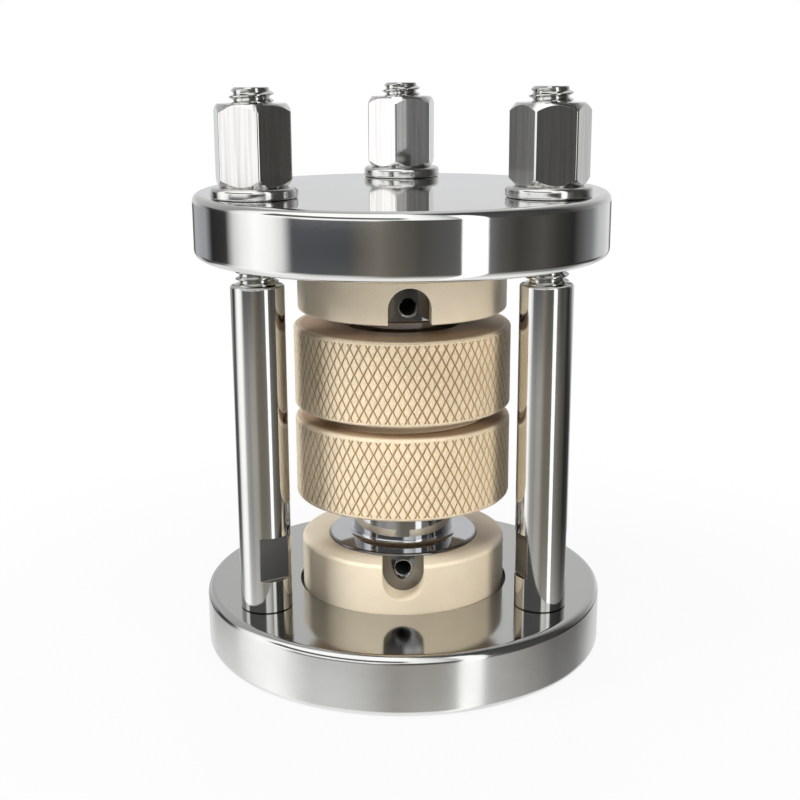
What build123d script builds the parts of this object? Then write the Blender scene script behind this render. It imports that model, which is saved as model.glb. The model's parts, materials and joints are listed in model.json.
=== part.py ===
"""Test mold for solid-state cells: a sealed cell between two electrodes, held in a three-post frame.

Millimetres. +Z points up, the origin is the centre of the base plate's underside,
and the lead sockets face -Y.
"""
import math
import os

from build123d import *

# Plates of the frame
plate_diameter = 80.0
base_thickness = 12.0
top_plate_thickness = 12.0
plate_edge_radius = 1.6
base_recess_depth = 2.4
top_recess_depth = 1.1
base_recess_clearance = 0.4
top_recess_clearance = 0.05

# Posts, each turned down to a thread at both ends
post_to_rim = 9.2
post_azimuths = {"left": 210.0, "right": -30.0, "back": 90.0}
post_diameter = 10.0
post_edge_chamfer = 0.5
post_end_gap = 3.8
stud_diameter = 8.0
stud_end_chamfer = 0.8
stud_above_nut = 2.8
root_length = 10.0
root_hole_extra_depth = 0.6
thread_clearance = 0.05
stud_hole_clearance = 0.5

# Wrench flats, milled low on each post
flat_across = 8.0
flat_height_above_base = 6.4
flat_length = 8.8
flat_azimuths = {"left": -60.0, "right": -163.0, "back": 25.0}

# Washers and hexagon nuts on the studs
washer_diameter = 16.0
washer_thickness = 2.1
washer_bore_clearance = 0.3
washer_edge_radius = 0.6
nut_across_flats = 13.0
nut_sides = 6
nut_height = 14.6
nut_chamfer_height = 1.5
nut_chamfer_width = 1.3
nut_mouth_chamfer = 0.5
nut_azimuths = {"left": 13.6, "right": 33.6, "back": 50.5}

# Insulating cups that hold the electrode flanges
cup_diameter = 41.0
cup_height = 12.0
cup_web = 4.5
cup_edge_radius = 0.7
cup_bore_clearance = 0.08
notch_width = 8.0
notch_depth = 7.0
upper_azimuth = 4.0

# Electrodes: a flange with a tapped lead socket, and a ground rod
flange_diameter = 30.0
flange_thickness = 8.0
flange_edge_radius = 0.5
rod_diameter = 20.0
rod_length = 22.8
rod_root_radius = 1.0
rod_tip_chamfer = 0.3
socket_core_diameter = 3.3
socket_mouth_diameter = 4.2
socket_depth = 10.0
socket_below_face = 3.0

# Sealed cell: a threaded sleeve, a seal at each end and a knurled ring nut over each seal
cell_offset = 3.2
sleeve_thread_diameter = 34.0
sleeve_end_chamfer = 0.6
sliding_clearance = 0.05
ring_diameter = 42.8
ring_height = 16.0
ring_gap = 2.4
ring_floor = 3.0
ring_edge_chamfer = 0.8
ring_bore_clearance = 0.5
ring_mouth_chamfer = 1.2
seal_section_diameter = 2.1
seal_clearance = 0.05
thrust_thickness = 2.0
thrust_bore_clearance = 0.15
thrust_lip = 0.4
thrust_groove_clearance = 0.1

# Heights, worked out from the stack of parts
cup_bottom = base_thickness - base_recess_depth
lower_face = cup_bottom + cup_web + flange_thickness
meeting_height = lower_face + rod_length
upper_face = meeting_height + rod_length
cap_top = upper_face + flange_thickness + cup_web
plate_underside = cap_top - top_recess_depth
plate_top = plate_underside + top_plate_thickness
washer_top = plate_top + washer_thickness
nut_top = washer_top + nut_height
stud_top = nut_top + stud_above_nut
post_shoulder = plate_underside - post_end_gap
cell_middle = meeting_height + cell_offset
half_cell = ring_gap / 2 + ring_height
half_sleeve = half_cell - ring_floor - thrust_thickness

# Radii shared by mating parts
post_circle_radius = plate_diameter / 2 - post_to_rim
stud_radius = stud_diameter / 2
rod_radius = rod_diameter / 2
cup_radius = cup_diameter / 2
sleeve_radius = sleeve_thread_diameter / 2
sleeve_bore_radius = rod_radius + sliding_clearance
seal_pocket_depth = seal_section_diameter + 2 * seal_clearance
seal_pocket_radius = sleeve_bore_radius + seal_pocket_depth
ring_thread_radius = sleeve_radius + thread_clearance
ring_groove_radius = ring_thread_radius + thrust_lip + thrust_groove_clearance


def cylinder(radius, bottom, top):
    """Upright cylinder on the axis between two heights."""
    upright = (Align.CENTER, Align.CENTER, Align.MIN)
    return Pos(0, 0, bottom) * Cylinder(radius, top - bottom, align=upright)


def cone(bottom_radius, top_radius, bottom, top):
    """Upright cone frustum on the axis between two heights."""
    upright = (Align.CENTER, Align.CENTER, Align.MIN)
    return Pos(0, 0, bottom) * Cone(bottom_radius, top_radius, top - bottom, align=upright)


def circles_at(shape, height):
    """Edges of a turned shape that lie flat at one height."""
    return shape.edges().filter_by(GeomType.CIRCLE).filter_by_position(
        Axis.Z, height - 0.001, height + 0.001
    )


def outermost(edges):
    """The edge with the largest radius."""
    return max(edges, key=lambda edge: edge.radius)


def place_on_stud(name):
    """Location of one stud's axis on the post circle."""
    return Rot(0, 0, post_azimuths[name]) * Pos(post_circle_radius, 0, 0) * Rot(
        0, 0, -post_azimuths[name]
    )


def plate_blank(bottom, top):
    """Round plate with both rims rounded."""
    plate = cylinder(plate_diameter / 2, bottom, top)
    rims = [outermost(circles_at(plate, bottom)), outermost(circles_at(plate, top))]
    return fillet(rims, min(plate_edge_radius, 0.45 * (top - bottom)))


def make_base_plate():
    """Base: a recess locates the lower cup, and three tapped holes take the posts."""
    plate = plate_blank(0, base_thickness)
    plate -= cylinder(cup_radius + base_recess_clearance, cup_bottom, base_thickness)
    hole_bottom = base_thickness - root_length - root_hole_extra_depth
    for name in post_azimuths:
        plate -= place_on_stud(name) * cylinder(
            stud_radius + thread_clearance, hole_bottom, base_thickness
        )
    return plate


def make_top_plate():
    """Top plate: a shallow recess below for the upper cup, and a clearance hole over each stud."""
    plate = plate_blank(plate_underside, plate_top)
    plate -= cylinder(cup_radius + top_recess_clearance, plate_underside, cap_top)
    for name in post_azimuths:
        plate -= place_on_stud(name) * cylinder(
            stud_radius + stud_hole_clearance, plate_underside, plate_top
        )
    return plate


def make_post(name):
    """Post with a threaded root, two wrench flats, a shoulder below the plate and a long stud."""
    body = cylinder(post_diameter / 2, base_thickness, post_shoulder)
    body = chamfer(circles_at(body, post_shoulder), post_edge_chamfer)
    flat_bottom = base_thickness + flat_height_above_base
    for half_turn in (0, 180):
        cutter = Box(
            post_diameter,
            post_diameter,
            flat_length,
            align=(Align.MIN, Align.CENTER, Align.MIN),
        )
        cutter = Pos(flat_across / 2, 0, flat_bottom) * cutter
        body -= Rot(0, 0, flat_azimuths[name] + half_turn) * cutter
    root = cylinder(stud_radius, base_thickness - root_length, base_thickness)
    root = chamfer(circles_at(root, base_thickness - root_length), stud_end_chamfer)
    stud = cylinder(stud_radius, post_shoulder, stud_top)
    stud = chamfer(circles_at(stud, stud_top), stud_end_chamfer)
    return place_on_stud(name) * (body + root + stud)


def make_washer(name):
    """Stamped washer, rounded on its upper edge."""
    washer = cylinder(washer_diameter / 2, plate_top, washer_top)
    washer = fillet(circles_at(washer, washer_top), min(washer_edge_radius, 0.45 * washer_thickness))
    washer -= cylinder(stud_radius + washer_bore_clearance, plate_top, washer_top)
    return place_on_stud(name) * washer


def make_hex_nut(name):
    """Tall hexagon nut, chamfered at both ends."""
    hexagon = RegularPolygon(
        nut_across_flats / 2, nut_sides, major_radius=False, rotation=180 / nut_sides
    )
    prism = Pos(0, 0, washer_top) * extrude(hexagon, nut_height)
    corner_radius = nut_across_flats / 2 / math.cos(math.pi / nut_sides)
    end_radius = corner_radius - nut_chamfer_width
    low_edge = washer_top + nut_chamfer_height
    high_edge = nut_top - nut_chamfer_height
    envelope = cone(end_radius, corner_radius, washer_top, low_edge)
    envelope += cylinder(corner_radius, low_edge, high_edge)
    envelope += cone(corner_radius, end_radius, high_edge, nut_top)
    nut = prism & envelope
    bore_radius = stud_radius + thread_clearance
    mouth_radius = bore_radius + nut_mouth_chamfer
    nut -= cylinder(bore_radius, washer_top, nut_top)
    nut -= cone(mouth_radius, bore_radius, washer_top, washer_top + nut_mouth_chamfer)
    nut -= cone(bore_radius, mouth_radius, nut_top - nut_mouth_chamfer, nut_top)
    return place_on_stud(name) * Rot(0, 0, nut_azimuths[name]) * nut


def make_cup():
    """Insulating cup with its mouth up: a pocket for the flange and a notch over the lead socket."""
    cup = cylinder(cup_radius, 0, cup_height)
    cup = fillet(circles_at(cup, cup_height), cup_edge_radius)
    cup -= cylinder(flange_diameter / 2 + cup_bore_clearance, cup_web, cup_height)
    notch_radius = notch_width / 2
    notch_centre = cup_height - notch_depth + notch_radius
    end = Pos(0, 0, notch_centre) * Rot(90, 0, 0) * Cylinder(
        notch_radius, cup_radius, align=(Align.CENTER, Align.CENTER, Align.MIN)
    )
    slot = Pos(0, 0, notch_centre) * Box(
        notch_width, cup_radius, notch_depth, align=(Align.CENTER, Align.MAX, Align.MIN)
    )
    return cup - end - slot


def make_electrode():
    """Electrode with its flange down at height 0: flange, lead socket and rod."""
    flange = cylinder(flange_diameter / 2, 0, flange_thickness)
    flange = fillet(circles_at(flange, flange_thickness), flange_edge_radius)
    rod = cylinder(rod_radius, flange_thickness, flange_thickness + rod_length)
    rod = chamfer(circles_at(rod, flange_thickness + rod_length), rod_tip_chamfer)
    electrode = flange + rod
    root = min(circles_at(electrode, flange_thickness), key=lambda edge: edge.radius)
    electrode = fillet(root, rod_root_radius)
    socket_height = flange_thickness - socket_below_face
    core_radius = socket_core_diameter / 2
    mouth_radius = socket_mouth_diameter / 2
    mouth_length = mouth_radius - core_radius
    out = (Align.CENTER, Align.CENTER, Align.MAX)
    socket = Cylinder(core_radius, socket_depth, align=out)
    socket += Cone(core_radius, mouth_radius, mouth_length, align=out)
    return electrode - Pos(0, -flange_diameter / 2, socket_height) * Rot(90, 0, 0) * socket


def upside_down(shape, top):
    """Turn a lower part over to hang from a height, with its socket side turned to match."""
    return Pos(0, 0, top) * Rot(0, 0, upper_azimuth) * Rot(0, 180, 0) * shape


def make_sleeve():
    """Threaded sleeve, bored for the rods, with a seal pocket in each end."""
    sleeve = cylinder(sleeve_radius, -half_sleeve, half_sleeve)
    ends = [outermost(circles_at(sleeve, height)) for height in (-half_sleeve, half_sleeve)]
    sleeve = chamfer(ends, sleeve_end_chamfer)
    sleeve -= cylinder(sleeve_bore_radius, -half_sleeve, half_sleeve)
    sleeve -= cylinder(seal_pocket_radius, -half_sleeve, seal_pocket_depth - half_sleeve)
    sleeve -= cylinder(seal_pocket_radius, half_sleeve - seal_pocket_depth, half_sleeve)
    return sleeve


def make_seal():
    """Seal ring in the upper pocket of the sleeve."""
    section_radius = seal_section_diameter / 2
    ring_radius = sleeve_bore_radius + seal_clearance + section_radius
    return Pos(0, 0, half_sleeve - seal_clearance - section_radius) * Torus(
        ring_radius, section_radius
    )


def make_thrust_ring():
    """Thrust ring over the upper seal, with a rim that snaps into the ring nut's groove."""
    ring = cylinder(ring_thread_radius + thrust_lip, half_sleeve, half_sleeve + thrust_thickness)
    return ring - cylinder(
        rod_radius + thrust_bore_clearance, half_sleeve, half_sleeve + thrust_thickness
    )


def make_ring_nut():
    """Upper ring nut: a threaded skirt, a groove for the thrust ring and a floor round the rod."""
    bottom = half_cell - ring_height
    floor_height = half_cell - ring_floor
    nut = cylinder(ring_diameter / 2, bottom, half_cell)
    nut = chamfer(circles_at(nut, bottom) + circles_at(nut, half_cell), ring_edge_chamfer)
    nut -= cylinder(ring_thread_radius, bottom, floor_height)
    groove_bottom = floor_height - thrust_thickness - thrust_groove_clearance
    nut -= cylinder(ring_groove_radius, groove_bottom, floor_height)
    bore_radius = rod_radius + ring_bore_clearance
    nut -= cylinder(bore_radius, floor_height, half_cell)
    mouth = half_cell - ring_mouth_chamfer
    return nut - cone(bore_radius, bore_radius + ring_mouth_chamfer, mouth, half_cell)


def cell_pair(shape):
    """Upper part of the cell and its twin at the lower end."""
    middle = Pos(0, 0, cell_middle)
    return {"upper": middle * shape, "lower": middle * Rot(0, 180, 0) * shape}


def build_parts():
    """Every part in its place, by name."""
    parts = {"base_plate": make_base_plate(), "top_plate": make_top_plate()}
    for name in post_azimuths:
        parts[f"post_{name}"] = make_post(name)
        parts[f"washer_{name}"] = make_washer(name)
        parts[f"hex_nut_{name}"] = make_hex_nut(name)
    cup = make_cup()
    electrode = make_electrode()
    parts["lower_cup"] = Pos(0, 0, cup_bottom) * cup
    parts["upper_cup"] = upside_down(cup, cap_top)
    parts["lower_electrode"] = Pos(0, 0, cup_bottom + cup_web) * electrode
    parts["upper_electrode"] = upside_down(electrode, cap_top - cup_web)
    parts["cell_sleeve"] = Pos(0, 0, cell_middle) * make_sleeve()
    for end, shape in cell_pair(make_seal()).items():
        parts[f"{end}_seal"] = shape
    for end, shape in cell_pair(make_thrust_ring()).items():
        parts[f"{end}_thrust_ring"] = shape
    for end, shape in cell_pair(make_ring_nut()).items():
        parts[f"{end}_ring_nut"] = shape
    return parts


os.makedirs("parts", exist_ok=True)
for node, shape in build_parts().items():
    export_step(shape, f"parts/{node}.step")
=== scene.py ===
"""Looks of the test mold: plates, posts, nuts, cups, electrodes and the sealed cell, on a pale floor."""

import json
import math

import bmesh
import bpy
from mathutils import Matrix, Vector


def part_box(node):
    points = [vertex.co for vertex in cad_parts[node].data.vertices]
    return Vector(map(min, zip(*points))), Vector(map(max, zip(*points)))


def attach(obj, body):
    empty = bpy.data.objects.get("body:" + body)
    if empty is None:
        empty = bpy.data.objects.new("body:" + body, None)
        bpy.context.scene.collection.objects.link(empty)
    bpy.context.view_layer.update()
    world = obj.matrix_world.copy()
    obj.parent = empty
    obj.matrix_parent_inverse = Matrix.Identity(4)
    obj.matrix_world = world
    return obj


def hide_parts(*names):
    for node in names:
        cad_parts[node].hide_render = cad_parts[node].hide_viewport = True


bl_info = {
    "name": "Cell Test Mold",
    "version": (1, 0, 0),
    "blender": (4, 5, 0),
    "location": "3D Viewport > Sidebar > Test Mold",
    "description": "Turns, threads, knurls and polishes the pieces of a test mold for solid-state cells",
    "category": "Mesh",
}

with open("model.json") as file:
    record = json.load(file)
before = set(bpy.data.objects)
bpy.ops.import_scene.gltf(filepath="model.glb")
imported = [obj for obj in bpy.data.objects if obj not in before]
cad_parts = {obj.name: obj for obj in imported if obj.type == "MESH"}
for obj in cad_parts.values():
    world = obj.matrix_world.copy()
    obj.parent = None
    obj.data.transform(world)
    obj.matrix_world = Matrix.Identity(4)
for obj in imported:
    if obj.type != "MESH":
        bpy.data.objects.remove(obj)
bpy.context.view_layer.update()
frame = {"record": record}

MM = 0.001
SAME = 1e-6
POSTS = ("left", "right", "back")
ENDS = ("lower", "upper")
WHITE = (1, 1, 1, 1)

# Facets round the large turned pieces, the cell's threads and the small turned pieces
ROUND_STEPS = 256
CELL_STEPS = 128
SMALL_STEPS = 96

# Edges that turn more than this stay sharp in the shading, which large faces rule over small ones
SHARP_ANGLE = math.radians(32)
LARGE_FACE_WEIGHT = 90

# Share of a thread's pitch taken by its flats and by each flank
ROOT_FLAT = 0.25
CREST_FLAT = 0.125
FLANK = (1 - ROOT_FLAT - CREST_FLAT) / 2
THREAD_DEPTH = 0.6134

# How far a cutter reaches past what it cuts
PAST = MM

# Rounding of edges that another piece hides
HIDDEN_EDGE = 0.3 * MM

# Quarter turn that lays an upright form down with its top towards the camera
LAID_DOWN = Matrix.Rotation(math.pi / 2, 4, "X")


def length(name, default, description):
    """A size in the panel, given in millimetres."""
    return bpy.props.FloatProperty(
        name=name, description=description, default=default * MM, unit="LENGTH", precision=5
    )


def degrees(name, default, description):
    """An angle in the panel, given in degrees."""
    return bpy.props.FloatProperty(
        name=name, description=description, default=math.radians(default), subtype="ANGLE"
    )


def colour(name, default, description):
    """A surface colour in the panel."""
    return bpy.props.FloatVectorProperty(
        name=name, description=description, default=default, size=3, subtype="COLOR", min=0, max=1
    )


def number(name, default, description):
    """A plain number in the panel."""
    return bpy.props.FloatProperty(name=name, description=description, default=default)


class FrameSizes(bpy.types.PropertyGroup):
    """Plates, posts, washers and hexagon nuts."""

    plate_rim: length("Plate rim", 1.5, "Radius of the rounded rims of both plates")
    base_recess_gap: length("Base recess gap", 0.6, "Gap round the lower cup in its recess")
    top_recess_gap: length("Top recess gap", 0.05, "Gap round the upper cup in its recess")
    stud_hole_gap: length("Stud hole gap", 0.5, "Gap round each stud in the top plate")
    post_end_gap: length("Post end gap", 3.8, "Stretch of stud seen between post and top plate")
    post_edge: length("Post edge", 0.5, "Rounding at the top of a post's thick part")
    stud_diameter: length("Stud diameter", 8.0, "Outer diameter of the threads on the posts")
    stud_pitch: length("Stud pitch", 1.25, "Rise of the stud's thread in one turn")
    stud_end: length("Stud end chamfer", 0.9, "Chamfer at the ends of the threads")
    flat_across: length("Across wrench flats", 8.0, "Distance across the two wrench flats")
    flat_height: length("Flat height", 6.4, "Height of the flats above the base plate")
    flat_length: length("Flat length", 8.8, "Length of the wrench flats")
    flat_corner: length("Flat corner", 0.35, "Rounding at both ends of the wrench flats")
    washer_edge: length("Washer edge", 0.8, "Rounding of a washer's upper edge")
    washer_foot: length("Washer foot", 0.45, "Rounding of a washer's lower edge")
    nut_across: length("Across nut flats", 13.0, "Distance across the flats of a hexagon nut")
    nut_corner: length("Nut corner", 0.28, "Rounding of the hexagon's upright corners")
    nut_chamfer_height: length("Nut chamfer height", 1.5, "Height of the end chamfers")
    nut_chamfer_width: length("Nut chamfer width", 1.3, "Depth of the end chamfers at a corner")
    thread_gap: length("Thread gap", 0.05, "Clearance between a nut's thread and its stud")


class CellSizes(bpy.types.PropertyGroup):
    """Cups, electrodes, sleeve and ring nuts."""

    cup_edge: length("Cup edge", 0.7, "Rounding of a cup's mouth")
    cup_web: length("Cup web", 4.5, "Thickness of a cup behind the electrode")
    notch_width: length("Notch width", 8.0, "Width of the notch over a lead socket")
    notch_depth: length("Notch depth", 7.0, "Depth of the notch from the cup's mouth")
    flange_diameter: length("Flange diameter", 30.0, "Diameter of an electrode's flange")
    flange_thickness: length("Flange thickness", 8.0, "Thickness of an electrode's flange")
    flange_edge: length("Flange edge", 0.5, "Rounding of the flange's rim")
    rod_diameter: length("Rod diameter", 20.0, "Diameter of an electrode's rod")
    rod_root: length("Rod root", 1.0, "Fillet between flange and rod")
    socket_diameter: length("Socket diameter", 4.0, "Outer diameter of the lead socket's thread")
    socket_pitch: length("Socket pitch", 0.7, "Rise of the lead socket's thread in one turn")
    socket_depth: length("Socket depth", 10.0, "Depth of the lead socket")
    socket_inset: length("Socket inset", 3.0, "Distance from the flange's face to the socket")
    sleeve_pitch: length("Sleeve pitch", 1.5, "Rise of the sleeve's thread in one turn")
    ring_floor: length("Ring floor", 3.0, "Thickness of a ring nut's floor")
    ring_chamfer: length("Ring chamfer", 0.35, "Chamfer at both ends of a ring nut")
    ring_bore_gap: length("Ring bore gap", 0.5, "Gap between a ring nut and the rod")
    ring_mouth: length("Ring mouth", 1.2, "Countersink where the rod leaves a ring nut")
    knurl_land: length("Knurl land", 0.25, "Plain land between knurl and chamfer")
    knurl_height: length("Diamond height", 3.3, "Height of one knurl diamond")
    knurl_depth: length("Knurl depth", 0.42, "Depth of the grooves between the diamonds")
    knurl_groove: length("Groove half width", 0.2, "Half the width of a groove")
    knurl_crown: length("Diamond crown", 0.12, "Height of the bevelled crown of a diamond")
    knurl_count: bpy.props.IntProperty(
        name="Diamonds round", description="Number of diamonds round a ring nut", default=73
    )


class Colours(bpy.types.PropertyGroup):
    """Colours of the metals and plastics."""

    steel: colour("Steel", (0.66, 0.66, 0.645), "Turned steel of plates, posts and washers")
    bright_steel: colour("Bright steel", (0.74, 0.735, 0.72), "Drawn steel of the hexagon nuts")
    chrome: colour("Chrome", (0.55, 0.56, 0.575), "Mirror finish of the electrodes")
    plastic: colour("Plastic", (0.82, 0.705, 0.53), "Natural beige of the ring nuts")
    # Painted shade: the ring nuts' end faces, bores and threads, darker than their plastic
    shaded_end_plastic: colour("Cut plastic", (0.60, 0.44, 0.29), "Browner end faces and bores")
    cup_plastic: colour("Cup plastic", (0.94, 0.83, 0.65), "Paler beige of both cups")
    # Painted shade: the ring nuts' plastic darkened for the sleeve in the gap between the nuts
    shaded_sleeve_plastic: colour("Sleeve plastic", (0.66, 0.57, 0.45), "Duller beige of the sleeve")
    # The grooves' own ochre, darkened further as painted shade in the grooves
    groove: colour("Groove", (0.62, 0.46, 0.25), "Burnt ochre in the knurl's grooves")
    thrust: colour("Thrust ring", (0.86, 0.86, 0.84), "White of the thrust rings")
    rubber: colour("Rubber", (0.02, 0.02, 0.02), "Black of the seals")
    floor: colour("Floor", (0.6, 0.6, 0.6), "Pale floor under the mold")


class StageSizes(bpy.types.PropertyGroup):
    """Camera and lamps."""

    camera_distance: length("Camera distance", 256.0, "Distance from the mold's axis to the camera")
    camera_height: length("Camera height", 115.0, "Height of the camera above the floor")
    camera_tilt: degrees("Camera tilt", 14.415, "How far the camera looks down")
    camera_roll: degrees("Camera roll", -0.25, "Turn of the picture about the line of sight")
    camera_pan: degrees("Camera pan", 0.11, "Turn of the camera to the left")
    camera_lens: number("Lens", 59.35, "Focal length in millimetres on a 36 mm sensor")
    ambient: number("Ambient", 0.05, "Strength of the soft light from all round")


def band(inner, outer, bottom, top):
    """Outline of a plain ring or, where it starts from the axis, of a disc."""
    return [(inner, bottom), (outer, bottom), (outer, top), (inner, top)]


def drawn(form, outline, closed):
    """Draw an outline of (radius, height) points, and return its points and edges."""
    verts = [form.verts.new((radius, 0, height)) for radius, height in outline]
    edges = [form.edges.new(pair) for pair in zip(verts, verts[1:])]
    if closed:
        edges.append(form.edges.new((verts[-1], verts[0])))
    return verts + edges


def spin(form, geom, angle, steps, axis=(0, 0, 1), rise=0.0, merge=False):
    """Spin points and edges about an axis through the origin, rising a little at each step."""
    bmesh.ops.spin(
        form,
        geom=geom,
        cent=(0, 0, 0),
        axis=axis,
        dvec=(0, 0, rise),
        angle=angle,
        steps=steps,
        use_merge=merge,
    )


def facing_out(form):
    """Point all the faces outwards."""
    bmesh.ops.recalc_face_normals(form, faces=form.faces)
    return form


def spun(form, outline, steps):
    """Spin an outline once round the upright axis and close it."""
    spin(form, outline, math.tau, steps, merge=True)
    bmesh.ops.remove_doubles(form, verts=form.verts, dist=SAME / 10)
    return facing_out(form)


def turned(outline, steps=ROUND_STEPS):
    """Turn an outline about the upright axis. One that starts on the axis also ends there."""
    form = bmesh.new()
    return spun(form, drawn(form, outline, closed=outline[0][0] > 0), steps)


def radius_of(vert):
    """Distance of a corner point from the upright axis."""
    return math.hypot(vert.co.x, vert.co.y)


def rise_of(edge):
    """Difference in height between the ends of an edge."""
    return abs(edge.verts[0].co.z - edge.verts[1].co.z)


def everything(form):
    """All the points, edges and faces of a form."""
    return list(form.verts) + list(form.edges) + list(form.faces)


def bevel(form, edges, amount, segments):
    """Round some edges."""
    bmesh.ops.bevel(
        form,
        geom=edges,
        offset=amount,
        segments=segments,
        profile=0.5,
        affect="EDGES",
        clamp_overlap=True,
        material=-1,
    )


def round_rim(form, radius, height, amount, segments):
    """Round the circular edge at one radius and height."""

    def on_rim(vert):
        return abs(radius_of(vert) - radius) < SAME and abs(vert.co.z - height) < SAME

    rim = [edge for edge in form.edges if all(on_rim(vert) for vert in edge.verts)]
    if not rim:
        raise ValueError(f"no rim at radius {radius} and height {height}")
    bevel(form, rim, amount, segments)


def break_edges(form, amount, angle, segments):
    """Take the sharpness off every edge that turns more than an angle in degrees."""
    limit = math.radians(angle)
    sharp = [edge for edge in form.edges if edge.is_manifold and edge.calc_face_angle() > limit]
    bevel(form, sharp, amount, segments)


def cut_off(form, height, outward):
    """Take away what lies above a height, where outward is 1, or below it, where it is -1."""
    bmesh.ops.bisect_plane(
        form,
        geom=everything(form),
        plane_co=(0, 0, height),
        plane_no=(0, 0, outward),
        clear_outer=True,
    )


def placed(form, matrix):
    """Move or turn a whole form."""
    bmesh.ops.transform(form, matrix=matrix, verts=form.verts)
    return form


def raised(form, height):
    """Move a whole form up."""
    return placed(form, Matrix.Translation((0, 0, height)))


def made_object(form, name):
    """Use up a form as the mesh of a new object."""
    mesh = bpy.data.meshes.new(name)
    form.to_mesh(mesh)
    form.free()
    made = bpy.data.objects.new(name, mesh)
    bpy.context.scene.collection.objects.link(made)
    return made


def combined(form, tool, operation="DIFFERENCE"):
    """Cut, join or cross two closed forms. Both are used up."""
    blanks = [made_object(source, "blank") for source in (form, tool)]
    work = blanks[0].modifiers.new("work", "BOOLEAN")
    work.object = blanks[1]
    work.operation = operation
    work.solver = "EXACT"
    result = bmesh.new()
    result.from_object(blanks[0], bpy.context.evaluated_depsgraph_get())
    for blank in blanks:
        mesh = blank.data
        bpy.data.objects.remove(blank)
        bpy.data.meshes.remove(mesh)
    if not result.faces:
        raise ValueError("a cut left nothing")
    return result


def threaded_rod(diameter, pitch, bottom, top, chamfers=(0, 0), steps=48, grow=0.0):
    """Closed right-handed thread between two heights, with a chamfer at each end."""
    crest = diameter / 2 + grow
    root = diameter / 2 - THREAD_DEPTH * pitch + grow
    first = math.floor(bottom / pitch) - 1
    turns = math.ceil(top / pitch) + 1 - first
    heights = (0, ROOT_FLAT, ROOT_FLAT + FLANK, ROOT_FLAT + FLANK + CREST_FLAT, 1)
    radii = (root, root, crest, crest, root)
    one_turn = [(radius, (first + height) * pitch) for radius, height in zip(radii, heights)]
    form = bmesh.new()
    outline = drawn(form, one_turn, closed=False)
    spin(form, outline, math.tau * turns, steps * turns, rise=pitch / steps)
    bmesh.ops.remove_doubles(form, verts=form.verts, dist=SAME / 2)
    cut_off(form, bottom, -1)
    cut_off(form, top, 1)
    for vert in form.verts:
        room = min(vert.co.z - bottom + crest - chamfers[0], top - vert.co.z + crest - chamfers[1])
        if radius_of(vert) > room:
            vert.co.xy *= room / radius_of(vert)
    bmesh.ops.holes_fill(form, edges=[edge for edge in form.edges if edge.is_boundary], sides=0)
    return facing_out(form)


def finished(form, name, body, material, node):
    """Make a form the piece that stands for a node, and let it ride on its body."""
    piece = made_object(form, name)
    rough = piece.data
    rough.polygons.foreach_set("use_smooth", [True] * len(rough.polygons))
    rough.set_sharp_from_angle(angle=SHARP_ANGLE)
    weigh = piece.modifiers.new("Weighted normals", "WEIGHTED_NORMAL")
    weigh.keep_sharp = True
    weigh.weight = LARGE_FACE_WEIGHT
    evaluated = piece.evaluated_get(bpy.context.evaluated_depsgraph_get())
    final = bpy.data.meshes.new_from_object(evaluated)
    piece.modifiers.clear()
    piece.data = final
    bpy.data.meshes.remove(rough)
    final.name = name
    final.materials.clear()
    final.materials.append(material)
    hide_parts(node)
    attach(piece, body)


def axis_of(node):
    """Place of a node's upright axis, on the floor."""
    low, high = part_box(node)
    middle = (low + high) / 2
    return Vector((middle.x, middle.y, 0))


def seated(form, end, low, high):
    """Stand a lower part in its place, or hang an upper one there with its socket side as built."""
    if end == "lower":
        return raised(form, low.z)
    socket = next(mount for mount in frame["record"]["mounts"] if mount["name"] == "upper_socket")
    turn = math.atan2(socket["axis"][0], -socket["axis"][1])
    over = Matrix.Rotation(turn, 4, "Z") @ Matrix.Rotation(math.pi, 4, "Y")
    return placed(form, Matrix.Translation((0, 0, high.z)) @ over)


class Value:
    """One output of a node. Arithmetic on it adds Math nodes."""

    def __init__(self, nodes, socket):
        self.nodes = nodes
        self.socket = socket

    def maths(self, operation, *operands):
        """Value worked out by one Math node."""
        return self.nodes.node("Math", {"operation": operation}, dict(enumerate(operands)))

    def __add__(self, other):
        return self.maths("ADD", self, other)

    def __sub__(self, other):
        return self.maths("SUBTRACT", self, other)

    def __rsub__(self, other):
        return self.maths("SUBTRACT", other, self)

    def __mul__(self, other):
        return self.maths("MULTIPLY", self, other)

    def __pow__(self, other):
        return self.maths("POWER", self, other)

    def __abs__(self):
        return self.maths("ABSOLUTE", self)

    __radd__ = __add__
    __rmul__ = __mul__

    def between(self, low, high):
        """0 below one limit, 1 above the other, smooth in between."""
        inputs = {"Value": self, "From Min": low, "From Max": high}
        return self.nodes.node("MapRange", {"interpolation_type": "SMOOTHSTEP"}, inputs)

    def inside(self, low, high, blur):
        """1 between two limits and 0 outside them, smooth just inside each."""
        return self.between(low, low + blur) * (1 - self.between(high - blur, high))


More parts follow.
